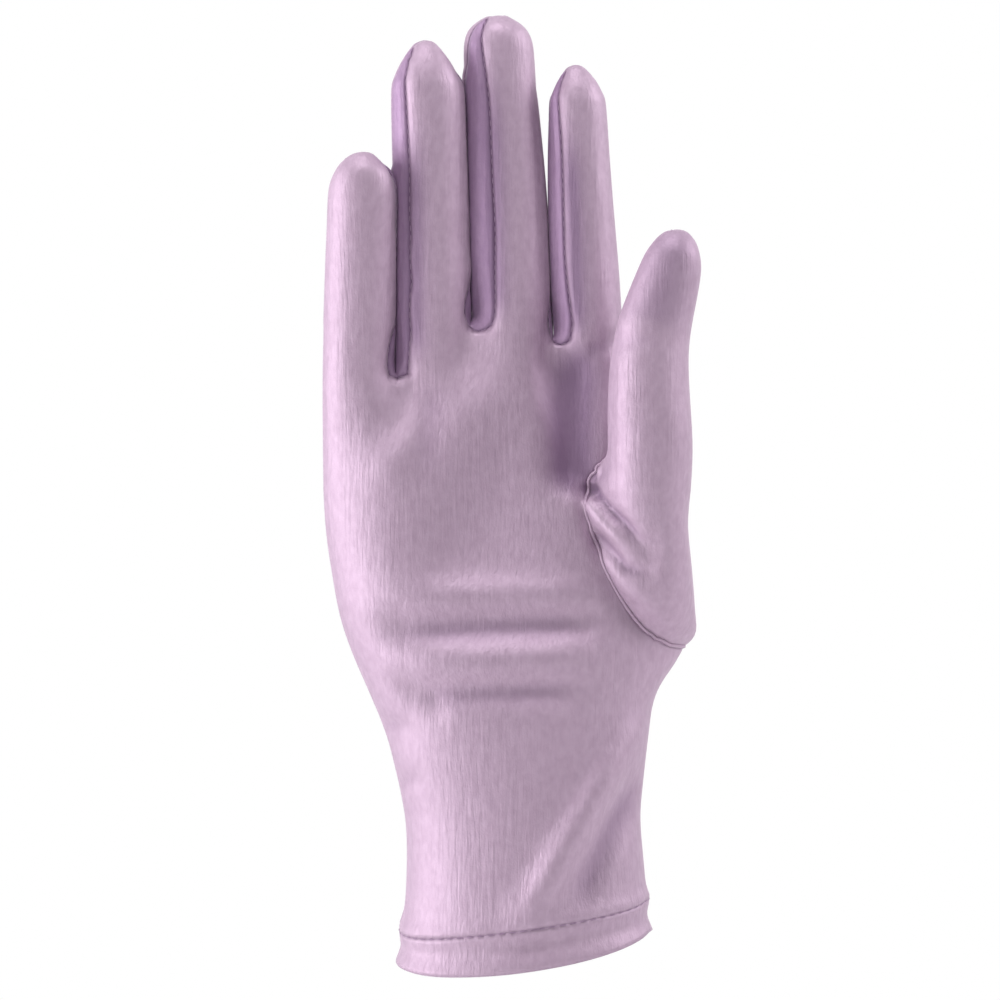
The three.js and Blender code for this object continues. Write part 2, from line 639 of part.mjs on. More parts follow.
// Turns a piece's cells into a closed solid: an outer and an inner skin, and walls along its edges
function clothSolid(piece, thickness, step) {
  const own = cells.filter((cell) => cell.piece === piece)
  const edges = new Map()
  for (const { corners } of own) {
    corners.forEach((from, index) => {
      const to = corners[(index + 1) % 4]
      const back = `${to} ${from}`
      if (edges.has(back)) edges.delete(back)
      else edges.set(`${from} ${to}`, [from, to])
    })
  }
  const pull = new Map()
  for (const [from, to] of edges.values()) {
    const along = points[to].clone().sub(points[from]).normalize()
    for (const corner of [from, to]) {
      const inward = normals[corner].clone().cross(along).normalize()
      if (!pull.has(corner)) pull.set(corner, [])
      pull.get(corner).push(inward)
    }
  }
  const used = [...new Set(own.flatMap((cell) => cell.corners))]
  const outer = new Map()
  const inner = new Map()
  const positions = []
  const place = (vertex) => {
    positions.push(vertex.x, vertex.y, vertex.z)
    return positions.length / 3 - 1
  }
  for (const corner of used) {
    const spot = points[corner].clone()
    if (pull.has(corner)) {
      const inward = pull.get(corner).reduce((sum, one) => sum.add(one), new THREE.Vector3())
      spot.addScaledVector(inward.normalize(), SEAM_GAP / 2)
    }
    outer.set(corner, place(spot.clone().addScaledVector(normals[corner], step)))
    inner.set(corner, place(spot.clone().addScaledVector(normals[corner], step - thickness)))
  }
  const faces = []
  for (const { corners } of own) {
    const [a, b, c, d] = corners
    const short = points[a].distanceTo(points[c]) <= points[b].distanceTo(points[d])
    const triangles = short ? [[a, b, c], [a, c, d]] : [[a, b, d], [b, c, d]]
    for (const [p, q, r] of triangles) {
      faces.push(outer.get(p), outer.get(q), outer.get(r))
      faces.push(inner.get(p), inner.get(r), inner.get(q))
    }
  }
  for (const [from, to] of edges.values()) {
    const across = from < to ? inner.get(to) : inner.get(from)
    const beside = from < to ? outer.get(from) : outer.get(to)
    faces.push(outer.get(to), outer.get(from), across)
    faces.push(beside, inner.get(from), inner.get(to))
  }
  const geometry = new THREE.BufferGeometry()
  geometry.setAttribute('position', new THREE.Float32BufferAttribute(positions, 3))
  geometry.setIndex(faces)
  geometry.computeVertexNormals()
  return geometry
}

const glove = new THREE.Group()
const pieceNames = [...new Set(cells.map((cell) => cell.piece))]
for (const name of pieceNames) {
  const isHem = name === 'wrist_hem'
  const geometry = clothSolid(name, isHem ? HEM_THICKNESS : CLOTH_THICKNESS, isHem ? HEM_STEP : 0)
  const material = new THREE.MeshStandardMaterial({ color: SATIN, roughness: 0.38, metalness: 0 })
  const mesh = new THREE.Mesh(geometry, material)
  mesh.name = name
  glove.add(mesh)
}

export default glove
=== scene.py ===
import json
import math

import bmesh
import bpy
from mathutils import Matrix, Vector, kdtree, noise
from mathutils.bvhtree import BVHTree

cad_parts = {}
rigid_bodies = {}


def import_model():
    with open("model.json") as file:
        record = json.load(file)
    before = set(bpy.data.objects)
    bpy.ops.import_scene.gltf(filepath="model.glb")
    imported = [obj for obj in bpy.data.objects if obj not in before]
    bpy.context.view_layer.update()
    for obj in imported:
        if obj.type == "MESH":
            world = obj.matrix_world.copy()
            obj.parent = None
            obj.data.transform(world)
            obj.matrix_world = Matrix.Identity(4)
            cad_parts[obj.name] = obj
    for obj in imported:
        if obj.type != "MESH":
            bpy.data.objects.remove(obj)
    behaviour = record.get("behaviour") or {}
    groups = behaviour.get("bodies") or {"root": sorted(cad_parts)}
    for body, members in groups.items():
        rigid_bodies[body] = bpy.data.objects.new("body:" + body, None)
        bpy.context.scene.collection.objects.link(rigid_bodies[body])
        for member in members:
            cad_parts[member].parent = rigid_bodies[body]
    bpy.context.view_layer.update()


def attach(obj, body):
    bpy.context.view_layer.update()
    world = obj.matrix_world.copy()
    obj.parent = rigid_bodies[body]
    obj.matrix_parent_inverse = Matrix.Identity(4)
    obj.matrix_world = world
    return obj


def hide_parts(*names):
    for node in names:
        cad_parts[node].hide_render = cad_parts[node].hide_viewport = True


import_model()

# Sizes in metres, in the glove's own frame: +Z to the fingertips, the palm faces -Y, the thumb is on +X.
MM = 0.001
CLOTH_THICKNESS = 0.55 * MM
HEM_THICKNESS = 1.3 * MM

# The cut pieces, with their size and area when they are laid flat
PIECES = [
    {"node": "palm_panel", "flat": (0.092, 0.236), "area": 0.0172},
    {"node": "back_panel", "flat": (0.092, 0.236), "area": 0.0171},
    {"node": "fourchette_little_ring", "flat": (0.013, 0.132), "area": 0.0011},
    {"node": "fourchette_ring_middle", "flat": (0.013, 0.158), "area": 0.0012},
    {"node": "fourchette_middle_index", "flat": (0.013, 0.152), "area": 0.0012},
    {"node": "thumb", "flat": (0.076, 0.108), "area": 0.0058},
    {"node": "wrist_hem", "flat": (0.163, 0.0105), "area": 0.0016},
]
NAMES = [row["node"] for row in PIECES]
THUMB = NAMES.index("thumb")
HEM = NAMES.index("wrist_hem")
STRIPS = [order for order, name in enumerate(NAMES) if name.startswith("fourchette")]

# The solids that the cloth is taken from: their walls, how near to them a rim's edges measure, how close
# doubled corners lie, how far apart the pieces stand along a seam, and how bent and how skewed two
# triangles may be that become one four-sided cell
CLOTH_WALL = 1.0 * MM
HEM_WALL = 1.8 * MM
WALL_TOLERANCE = 0.004 * MM
DOUBLES_WITHIN = 0.002 * MM
SEAM_REACH = 0.5 * MM
CELL_BEND = math.radians(70)
CELL_SKEW = math.radians(120)

SMOOTHING_LEVELS = 2
FITTING_ROUNDS = 2

# The stretch of the glove whose cloth is evened out under the forks, and how much in each round
UNDER_FORKS = (0.116, 0.156)
EVENING_ROUNDS = 12
EVENING_SHARE = 0.5

# Seams: how far the cloth is drawn in along them and how wide, how dark they show as a share, and their
# stitches and the space between two, or the radius alone of an edge that stands up
SEAMS = {
    "finger": {"depth": 0.45 * MM, "width": 1.2 * MM, "shade": 1.0,
               "stitch": 1.5 * MM, "space": 0.9 * MM, "radius": 0.13 * MM},
    "thumb": {"depth": 0.4 * MM, "width": 1.0 * MM, "shade": 0.7, "radius": 0.5 * MM},
    "hem": {"depth": 0.12 * MM, "width": 0.8 * MM, "shade": 0.7,
            "stitch": 1.7 * MM, "space": 1.0 * MM, "radius": 0.13 * MM},
    "side": {"depth": 0.35 * MM, "width": 1.0 * MM, "shade": 0.85},
}
SHADE_WIDTH = 1.0 * MM
STITCH_LIFT = 0.02 * MM
EDGE_LIFT = 0.05 * MM
SHORTEST_STEP = 0.000001 * MM
THREAD_ROUNDNESS = 1

# Places along a stitch and how thick it is there, as shares
STITCH_SHAPE = [
    {"along": 0.0, "thickness": 0.4},
    {"along": 0.3, "thickness": 1.0},
    {"along": 0.7, "thickness": 1.0},
    {"along": 1.0, "thickness": 0.4},
]

# Where the fingers touch: from this height up, where the cloth faces sideways by this share at least, and
# how wide a gap still closes all or part of the way. The gap is measured from a little off the cloth.
FORKS_FROM = 0.138
FACING_SIDEWAYS = 0.15
TOUCHING_GAP = 1.5 * MM
OPEN_GAP = 4.0 * MM
TOUCHING_CLEARANCE = 0.04 * MM
OFF_THE_CLOTH = 0.1 * MM

# Folds in the cloth. A fold runs through its points, across and up in millimetres, on the palm's side or
# the back's. Height is out of the cloth, or into it where it is less than nothing, and spread is how far
# it reaches to each side. It fades over a share of its length at its start and at its end. Its shade is
# how much painted shade its colour takes on, besides the painted shade that every fold's hollow gets.
PALM = -1
BACK = 1
FOLDS = [
    {"name": "heel swell", "side": PALM, "height": 1.8, "spread": 4.4,
     "fade": (0.35, 0.3), "points": [(-42, 86), (-12, 88), (10, 88.5), (26, 86)]},
    {"name": "upper heel crease", "side": PALM, "height": -1.5, "spread": 4.6,
     "fade": (0.35, 0.3), "points": [(-44, 80), (-12, 81.4), (10, 82), (26, 80)]},
    {"name": "swell between the heel creases", "side": PALM, "height": 1.3, "spread": 4.2,
     "fade": (0.35, 0.3), "points": [(-40, 70.5), (-8, 72), (24, 73)]},
    {"name": "lower heel crease", "side": PALM, "height": -1.2, "spread": 3.6,
     "fade": (0.35, 0.3), "points": [(-36, 64), (-8, 65), (20, 66)]},
    # This hollow is deep enough to take the full painted shade, a painted shadow beside the thumb
    {"name": "hollow beside the thumb", "side": PALM, "height": -3.6, "spread": 6.4,
     "fade": (0.3, 0.25), "points": [(13.5, 156), (12, 136), (11.5, 110)]},
    {"name": "swell under the little finger", "side": PALM, "height": 1.6, "spread": 6.0,
     "fade": (0.35, 0.35), "points": [(-33.5, 146), (-34.5, 130), (-35, 112)]},
    {"name": "dip under the ring finger", "side": PALM, "height": -1.0, "spread": 5.5,
     "fade": (0.35, 0.35), "points": [(-23, 147), (-24, 132), (-27, 114)]},
    # The dips beside the finger seams carry painted shade by their shade share, for the shade beside each
    # seam
    {"name": "dip beside the ring finger's seam", "side": PALM, "height": -0.4, "spread": 2.7,
     "fade": (0.15, 0.35), "shade": 0.9, "points": [(-27.3, 144), (-27.3, 178), (-27.6, 212)]},
    {"name": "dip beside the middle finger's seam", "side": PALM, "height": -0.4, "spread": 2.7,
     "fade": (0.15, 0.35), "shade": 0.9, "points": [(-6.8, 154), (-7.2, 190), (-8.6, 226)]},
    {"name": "dip beside the index finger's seam", "side": PALM, "height": -0.4, "spread": 2.7,
     "fade": (0.15, 0.35), "shade": 1.0, "points": [(13.2, 150), (12.2, 180), (10.4, 212)]},
    {"name": "wrist ridge", "side": PALM, "height": 1.5, "spread": 3.2,
     "fade": (0.3, 0.3), "points": [(27, 57), (16, 38), (7, 22), (-1, 8)]},
    {"name": "wrist hollow", "side": PALM, "height": -1.5, "spread": 3.6,
     "fade": (0.3, 0.3), "points": [(32, 48), (23, 32), (14, 15), (9, 8)]},
    {"name": "upper left pucker", "side": PALM, "height": -0.8, "spread": 1.8,
     "fade": (0.0, 0.7), "points": [(-38, 54.5), (-27, 58)]},
    {"name": "lower left pucker", "side": PALM, "height": -0.7, "spread": 1.8,
     "fade": (0.0, 0.7), "points": [(-34, 41), (-23, 44)]},
    {"name": "thumb pleat", "side": PALM, "height": -1.9, "spread": 1.2,
     "fade": (0.1, 0.4), "points": [(14.5, 117), (21, 109.5), (28, 102.5), (31.5, 98.5)]},
    {"name": "roll of the thumb pleat", "side": PALM, "height": 0.9, "spread": 1.6,
     "fade": (0.1, 0.4), "points": [(14.5, 113), (20, 106), (27, 99)]},
    {"name": "second thumb fold", "side": PALM, "height": -1.5, "spread": 1.5,
     "fade": (0.1, 0.4), "points": [(16.5, 104.5), (24.5, 95.5), (33.5, 93.5)]},
    {"name": "third thumb fold", "side": PALM, "height": 0.5, "spread": 1.8,
     "fade": (0.2, 0.4), "points": [(17, 99), (25, 90), (35, 88)]},
    {"name": "thumb shoulder crease", "side": PALM, "height": -0.4, "spread": 2.2,
     "fade": (0.3, 0.3), "points": [(20, 128), (28, 131), (38, 129)]},
    {"name": "thumb bend crease", "side": PALM, "height": -0.8, "spread": 2.2,
     "fade": (0.0, 0.6), "points": [(18, 150.5), (28, 152), (39, 153)]},
    # The thumb end's shade share is painted shade where the thumb bends back
    {"name": "thumb end, bent back", "side": PALM, "height": -0.2, "spread": 6.5,
     "fade": (0.25, 0.0), "shade": 0.45, "points": [(31, 154), (36, 174)]},
    {"name": "back wrist crease", "side": BACK, "height": -0.7, "spread": 3.0,
     "fade": (0.3, 0.3), "points": [(-34, 59), (-5, 62), (28, 61)]},
    {"name": "lower back wrist crease", "side": BACK, "height": -0.5, "spread": 2.6,
     "fade": (0.3, 0.3), "points": [(-30, 47), (0, 49), (26, 46)]},
    {"name": "back thumb crease", "side": BACK, "height": -0.5, "spread": 2.4,
     "fade": (0.3, 0.3), "points": [(18, 122), (30, 110), (37, 96)]},
]

# How fast a fold comes in as the cloth turns to the fold's side, how many spreads away a fold or a swell
# ends, and how deep a fold is, in millimetres, where the painted shade in its hollow is at its deepest
TURNING_GAIN = 1.8
SPREADS_TO_END = 3.0
FULL_PAINTED_SHADE_DEPTH = 3.0

# The hem's profile: heights out of the cloth, above its stitching or below it, in millimetres
HEM_SHAPING_TO = 0.026
HEM_PROFILE = [
    {"name": "roll over the stitching", "height": 0.6, "above": 0.8, "spread": 2.2},
    {"name": "hollow of the hem", "height": -0.7, "above": -3.8, "spread": 2.4},
    {"name": "turned edge", "height": 0.5, "above": -9.2, "spread": 2.2},
]

# Places where the glove stands out sideways: its middle, the move and the spread, in millimetres
SWELLS = [
    {"name": "seam end under the thumb", "place": (36, 1, 77), "move": (3.6, 0, 0), "spread": 8.0},
]

# Slow waves in the whole cloth: their height, their size across, and how close they follow each other up
# the glove, as a share of how close they follow each other across
WAVE_HEIGHT = 0.16 * MM
WAVE_SIZE = 11.0 * MM
WAVES_UPWARD = 0.45

# The satin: its finish by the shader's own socket names, the patterns that stand out of it, and the
# mottling, which goes from the satin's shade to its colour between two values of its pattern
SATIN_FINISH = {
    "Metallic": 0.35,
    "Roughness": 0.56,
    "Specular IOR Level": 0.6,
    "Sheen Weight": 0.12,
    "Sheen Roughness": 0.3,
    "Sheen Tint": (1.0, 0.94, 1.0, 1.0),
}
SATIN_RELIEF = [
    {"name": "knit lines", "scale": (1150.0, 1150.0, 110.0), "detail": 2.0, "distortion": 0.35,
     "strength": 0.8, "depth": 0.2 * MM},
    {"name": "drag lines", "scale": (260.0, 260.0, 60.0), "detail": 3.0, "distortion": 0.2,
     "strength": 0.5, "depth": 0.4 * MM},
    {"name": "grain", "scale": (2400.0, 2400.0, 1800.0), "detail": 1.0, "distortion": 0.0,
     "strength": 0.5, "depth": 0.1 * MM},
]
MOTTLING = {"name": "mottling", "scale": (620.0, 620.0, 380.0), "detail": 3.0, "distortion": 0.3}
MOTTLING_FROM = 0.3
MOTTLING_TO = 0.7
SATIN_COLOUR = (0.475, 0.345, 0.46, 1.0)
SATIN_SHADE = (0.415, 0.295, 0.40, 1.0)
# The fourchette strips get a darker copy of the satin, as painted shade for the shade that falls between the
# fingers
STRIP_PAINTED_SHADE_COLOUR = (0.36, 0.235, 0.375, 1.0)
STRIP_PAINTED_SHADE_DARKER_TONE = (0.31, 0.195, 0.33, 1.0)

# Seams show as dark lines and hollows carry painted shade: the tints, the power that narrows a seam's
# mark, and the share of a hollow's painted shade that shows
SEAM_TINT = (0.17, 0.09, 0.18, 1.0)
SEAM_POWER = 5.0
PAINTED_SHADE_TINT = (0.17, 0.095, 0.19, 1.0)
PAINTED_SHADE_SHARE = 0.75

THREAD_COLOUR = (0.30, 0.20, 0.31, 1.0)
THREAD_ROUGHNESS = 0.6

# A pale floor below the glove, and a room that is white behind the glove and darker in front of it. The
# room's directions go from -1, straight to the front, to 1, straight to the back.
FLOOR_HEIGHT = -0.12
FLOOR_SIZE = 2.4
FLOOR_COLOUR = (0.9, 0.9, 0.9, 1.0)
FLOOR_ROUGHNESS = 0.8
ROOM_COLOUR = (1.0, 1.0, 1.0, 1.0)
ROOM_FRONT_LIGHT = 0.16
ROOM_LIGHT = 1.0
ROOM_DARKEST_TO = -0.2
ROOM_WHITE_FROM = 0.6

# Soft lights on both sides and above, placed from the middle of the picture
PICTURE_MIDDLE = Vector((-0.00625, 0.0, 0.1125))
LIGHTS = [
    {"name": "left_light", "offset": (-0.8, -0.2, 0.0), "size": (0.6, 0.8), "power": 9.0},
    {"name": "right_light", "offset": (0.74, -0.12, 0.4), "size": (0.4, 0.4), "power": 4.5},
    {"name": "upper_light", "offset": (-0.1, -0.3, 0.85), "size": (0.6, 0.3), "power": 5.5},
]

CAMERA_DISTANCE = 1.5
PICTURE_WIDTH = 0.25
SENSOR_WIDTH = 36.0


def smooth_step(value):
    """From 0 to 1 with soft ends."""
    value = max(0.0, min(1.0, value))
    return value * value * (3.0 - 2.0 * value)


def new_object(name, data):
    """A new object in the scene, at the origin."""
    made = bpy.data.objects.new(name, data)
    bpy.context.scene.collection.objects.link(made)
    return made


def own_mesh(name, bm):
    """A new smooth object with the mesh that was worked on."""
    mesh = bpy.data.meshes.new(name)
    bm.to_mesh(mesh)
    bm.free()
    for face in mesh.polygons:
        face.use_smooth = True
    return new_object(name, mesh)


def tree_of(places):
    """A search tree over places."""
    tree = kdtree.KDTree(len(places))
    for index, place in enumerate(places):
        tree.insert(place, index)
    tree.balance()
    return tree


def push_out(moves):
    """Moves corners of a mesh along their directions out, or in where a move is less than nothing."""
    for vert, move in moves.items():
        vert.co += vert.normal * move


def islands(bm):
    """The faces of a mesh in groups that hang together."""
    waiting = set(bm.faces)
    groups = []
    while waiting:
        group = {waiting.pop()}
        fresh = list(group)
        while fresh:
            face = fresh.pop()
            for edge in face.edges:
                for neighbour in edge.link_faces:
                    if neighbour in waiting:
                        waiting.discard(neighbour)
                        group.add(neighbour)
                        fresh.append(neighbour)
        groups.append(group)
    return groups


def outer_skin(node, wall):
    """A copy of a solid's outer face, in four-sided cells. The rims between the two faces go first."""
    bm = bmesh.new()
    bm.from_mesh(bpy.data.objects[node].data)
    bmesh.ops.remove_doubles(bm, verts=bm.verts, dist=DOUBLES_WITHIN)
    rims = {
        face
        for edge in bm.edges
        if abs(edge.calc_length() - wall) < WALL_TOLERANCE
        for face in edge.link_faces
    }
    bmesh.ops.delete(bm, geom=list(rims), context="FACES")
    groups = islands(bm)
    outer = max(groups, key=lambda group: sum(face.calc_area() for face in group))
    bmesh.ops.delete(bm, geom=[face for face in bm.faces if face not in outer], context="FACES")
    bmesh.ops.join_triangles(
        bm, faces=bm.faces, angle_face_threshold=CELL_BEND, angle_shape_threshold=CELL_SKEW)
    return bm


def sewn_skin():
    """The outer skins of all pieces in one mesh, joined along the seams. A face keeps its piece's number."""
    whole = bmesh.new()
    for order, node in enumerate(NAMES):
        skin = outer_skin(node, HEM_WALL if order == HEM else CLOTH_WALL)
        for face in skin.faces:
            face.material_index = order
        mesh = bpy.data.meshes.new(node)
        skin.to_mesh(mesh)
        skin.free()
        whole.from_mesh(mesh)
        bpy.data.meshes.remove(mesh)
    rim = [vert for vert in whole.verts if vert.is_boundary]
    places = [vert.co.copy() for vert in rim]
    tree = tree_of(places)
    for vert, place in zip(rim, places):
        near = [found[0] for found in tree.find_range(place, SEAM_REACH)]
        vert.co = sum(near, Vector()) / len(near)
    bmesh.ops.remove_doubles(whole, verts=rim, dist=SEAM_REACH / 2)
    return whole


def subdivided(piece, levels):
    """An object's mesh after rounds of smooth subdivision. Its first corners are those of the net."""
    finer = piece.modifiers.new("Finer", "SUBSURF")
    finer.levels = levels
    finer.render_levels = levels
    depsgraph = bpy.context.evaluated_depsgraph_get()
    shaped = bpy.data.meshes.new_from_object(piece.evaluated_get(depsgraph))
    piece.modifiers.remove(finer)
    return shaped


def smooth_skin(bm):
    """Smooth subdivision that still runs through the corners of the net, so that nothing shrinks."""
    piece = own_mesh("skin", bm)
    aims = [vert.co.copy() for vert in piece.data.vertices]
    for _ in range(FITTING_ROUNDS):
        shaped = subdivided(piece, 1)
        for vert, aim in zip(piece.data.vertices, aims):
            vert.co += aim - shaped.vertices[vert.index].co
        piece.data.update()
        bpy.data.meshes.remove(shaped)
    shaped = subdivided(piece, SMOOTHING_LEVELS)
    bpy.data.objects.remove(piece)
    result = bmesh.new()
    result.from_mesh(shaped)
    bpy.data.meshes.remove(shaped)
    return result


def even_under_forks(bm):
    """Evens out the cloth under the forks and rounds the seams at their ends."""
    low, high = UNDER_FORKS
    near = [vert for vert in bm.verts if low < vert.co.z < high]
    for _ in range(EVENING_ROUNDS):
        bmesh.ops.smooth_vert(
            bm, verts=near, factor=EVENING_SHARE, use_axis_x=True, use_axis_y=True, use_axis_z=True)


def place_on_line(place, points):
    """How far a place lies from a line through points, and the share of the line's length up to there."""
    best = (math.inf, 0.0)
    done = 0.0
    for start, end in zip(points, points[1:]):
        along = end - start
        share = max(0.0, min(1.0, (place - start).dot(along) / along.length_squared))
        distance = (place - start - along * share).length
        if distance < best[0]:
            best = (distance, done + share * along.length)
        done += along.length
    return best[0], best[1] / done


def fold_height(fold, place):
    """How far a fold moves the cloth at a place, in millimetres."""
    distance, share = place_on_line(place, fold["line"])
    distance /= fold["spread"]
    if distance > SPREADS_TO_END:
        return 0.0
    starting, ending = fold["fade"]
    height = fold["height"] * math.exp(-distance * distance)
    if starting:
        height *= smooth_step(share / starting)
    if ending:
        height *= smooth_step((1.0 - share) / ending)
    return height


def press_folds(bm):
    """Moves the cloth in and out along its folds, and marks the painted shade of its hollows and dips."""
    bm.normal_update()
    hollow = bm.verts.layers.float.new("hollow")
    folds = [dict(row, line=[Vector(point) for point in row["points"]]) for row in FOLDS]
    moves = {}
    for vert in bm.verts:
        place = Vector((vert.co.x, vert.co.z)) / MM
        move = 0.0
        shade = 0.0
        for fold in folds:
            facing = vert.normal.y * fold["side"]
            if facing > 0.0:
                height = smooth_step(TURNING_GAIN * facing) * fold_height(fold, place)
                move += height
                shade += fold.get("shade", 0.0) * height / fold["height"]
        moves[vert] = move * MM
        # The hollow mark is painted shade: deeper colour in the folds' hollows and along the dips that have
        # a shade
        vert[hollow] = min(1.0, shade + smooth_step(-move / FULL_PAINTED_SHADE_DEPTH))
    push_out(moves)


def seam_at(part):
    """The kind of seam that runs through a corner or an edge of the mesh, if any does."""
    pieces = {face.material_index for face in part.link_faces}
    if len(pieces) < 2:
        return None
    if HEM in pieces:
        return SEAMS["hem"]
    if THUMB in pieces:
        return SEAMS["thumb"]
    if pieces.intersection(STRIPS):
        return SEAMS["finger"]
    return SEAMS["side"]


def shape_hem(bm):
    """The cloth stands out along the hem's stitching, and the hem draws in under it and turns out again."""
    bm.normal_update()
    tree = tree_of([vert.co.copy() for vert in bm.verts if seam_at(vert) is SEAMS["hem"]])
    moves = {}
    for vert in bm.verts:
        if vert.co.z > HEM_SHAPING_TO:
            continue
        above = (vert.co.z - tree.find(vert.co)[0].z) / MM
        height = sum(
            row["height"] * math.exp(-((above - row["above"]) / row["spread"]) ** 2) for row in HEM_PROFILE)
        moves[vert] = height * MM
    push_out(moves)


def swell(bm):
    """Moves the glove sideways round a few places."""
    for row in SWELLS:
        middle = Vector(row["place"]) * MM
        move = Vector(row["move"]) * MM
        for vert in bm.verts:
            distance = (vert.co - middle).length / (row["spread"] * MM)
            if distance < SPREADS_TO_END:
                vert.co += move * math.exp(-distance * distance)


def loosen(bm):
    """Slow soft waves, because worn cloth is never quite even."""
    bm.normal_update()
    moves = {}
    for vert in bm.verts:
        place = Vector((vert.co.x, vert.co.y, vert.co.z * WAVES_UPWARD)) / WAVE_SIZE
        moves[vert] = WAVE_HEIGHT * noise.noise(place)
    push_out(moves)


def sink_seams(bm):
    """Draws the cloth in along the seams, and marks how near each place is to one."""
    bm.normal_update()
    seams = [(vert.co.copy(), seam_at(vert)) for vert in bm.verts if seam_at(vert)]
    tree = tree_of([place for place, _ in seams])
    nearness = bm.verts.layers.float.new("seam")
    moves = {}
    for vert in bm.verts:
        _, index, distance = tree.find(vert.co)
        seam = seams[index][1]
        vert[nearness] = seam["shade"] * math.exp(-(distance / SHADE_WIDTH) ** 2)
        moves[vert] = -seam["depth"] * math.exp(-(distance / seam["width"]) ** 2)
    push_out(moves)


def close_fingers(bm):
    """Lets neighbouring fingers touch. Each side moves half of the way over the gap between them."""
    bm.normal_update()
    bm.faces.ensure_lookup_table()
    tree = BVHTree.FromBMesh(bm)
    moves = {}
    for vert in bm.verts:
        if vert.co.z < FORKS_FROM or abs(vert.normal.x) < FACING_SIDEWAYS:
            continue
        if any(face.material_index == THUMB for face in vert.link_faces):
            continue
        way = Vector((math.copysign(1.0, vert.normal.x), 0.0, 0.0))
        _, facing, face, distance = tree.ray_cast(vert.co + way * OFF_THE_CLOTH, way, OPEN_GAP)
        if face is None or facing.dot(way) > -FACING_SIDEWAYS or bm.faces[face].material_index == THUMB:
            continue
        gap = distance + OFF_THE_CLOTH
        share = 1.0 - smooth_step((gap - TOUCHING_GAP) / (OPEN_GAP - TOUCHING_GAP))
        moves[vert] = way * max(0.0, gap / 2 - TOUCHING_CLEARANCE) * share
    for vert, move in moves.items():
        vert.co += move


def shaped_glove():
    """The whole glove as one thin skin in its worn form."""
    glove = smooth_skin(sewn_skin())
    even_under_forks(glove)
    press_folds(glove)
    shape_hem(glove)
    swell(glove)
    loosen(glove)
    sink_seams(glove)
    close_fingers(glove)
    return glove


def seam_paths(bm, seam):
    """The seams of one kind as lists of places with the cloth's direction out, each from end to end."""
    edges = [edge for edge in bm.edges if seam_at(edge) is seam]
    unused = set(edges)
    paths = []
    for edge in edges:
        if edge not in unused:
            continue
        unused.discard(edge)
        path = list(edge.verts)
        for at_start in (True, False):
            while True:
                end = path[0] if at_start else path[-1]
                following = next((one for one in end.link_edges if one in unused), None)
                if following is None:
                    break
                unused.discard(following)
                path.insert(0 if at_start else len(path), following.other_vert(end))
        paths.append([(vert.co.copy(), vert.normal.copy()) for vert in path])
    return paths


def lengths_of(path):
    """The distance along a path to each of its places."""
    lengths = [0.0]
    for (start, _), (end, _) in zip(path, path[1:]):
        lengths.append(lengths[-1] + (end - start).length)
    return lengths


def place_along(path, lengths, distance):
    """The place and the direction out at a distance along a path."""
    index = 0
    while index < len(path) - 2 and lengths[index + 1] < distance:
        index += 1
    share = (distance - lengths[index]) / max(lengths[index + 1] - lengths[index], SHORTEST_STEP)
    share = max(0.0, min(1.0, share))
    place = path[index][0].lerp(path[index + 1][0], share)
    return place, path[index][1].lerp(path[index + 1][1], share).normalized()


def stitches(bm, seam):
    """Single stitches along a kind of seam: places with the stitch's thickness there as a share."""
    rows = []
    for path in seam_paths(bm, seam):
        lengths = lengths_of(path)
        distance = 0.0
        while distance + seam["stitch"] < lengths[-1]:
            row = []
            for spot in STITCH_SHAPE:
                place, out = place_along(path, lengths, distance + seam["stitch"] * spot["along"])
                row.append((place + out * STITCH_LIFT, spot["thickness"]))
            rows.append(row)
            distance += seam["stitch"] + seam["space"]
    return rows


def raised_edges(bm, seam):
    """The rolled edge of a seam that stands up a little, as places with its full thickness."""
    return [[(place + out * EDGE_LIFT, 1.0) for place, out in path] for path in seam_paths(bm, seam)]


def sewn_piece(name, rows, seam, material):
    """Round threads of a seam's radius through rows of places, as one mesh."""
    curve = bpy.data.curves.new(name + "_line", "CURVE")
    curve.dimensions = "3D"
    curve.bevel_depth = seam["radius"]
    curve.bevel_resolution = THREAD_ROUNDNESS
    curve.use_fill_caps = True
    for row in rows:
        spline = curve.splines.new("POLY")
        spline.points.add(len(row) - 1)
        for point, (place, thickness) in zip(spline.points, row):
            point.co = (*place, 1.0)
            point.radius = thickness
    line = new_object(name + "_line", curve)
    depsgraph = bpy.context.evaluated_depsgraph_get()
    bm = bmesh.new()
    bm.from_mesh(line.evaluated_get(depsgraph).to_mesh())
    bpy.data.objects.remove(line)
    piece = own_mesh(name, bm)
    piece.data.materials.append(material)
    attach(piece, "root")


def cut_out(whole, order):
    """One piece's faces out of the whole skin."""
    bm = whole.copy()
    others = [face for face in bm.faces if face.material_index != order]
    bmesh.ops.delete(bm, geom=others, context="FACES")
    for face in bm.faces:
        face.material_index = 0
    return bm


def thicken(piece, thickness):
    """Gives the cloth its thickness inwards."""
    wall = piece.modifiers.new("Thickness", "SOLIDIFY")
    wall.thickness = thickness
    wall.offset = -1.0
    wall.use_even_offset = False


def cloth_piece(whole, order, material):
    """One cut piece of the glove, in place of its plain solid."""
    row = PIECES[order]
    piece = own_mesh(row["node"] + "_cloth", cut_out(whole, order))
    thicken(piece, HEM_THICKNESS if order == HEM else CLOTH_THICKNESS)
    piece.data.materials.append(material)
    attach(piece, "root")
    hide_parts(row["node"])


def plain(name, colour, roughness):
    """A material of one colour."""
    material = bpy.data.materials.new(name)
    material.use_nodes = True
    shader = material.node_tree.nodes["Principled BSDF"]
    shader.inputs["Base Color"].default_value = colour
    shader.inputs["Roughness"].default_value = roughness
    return material


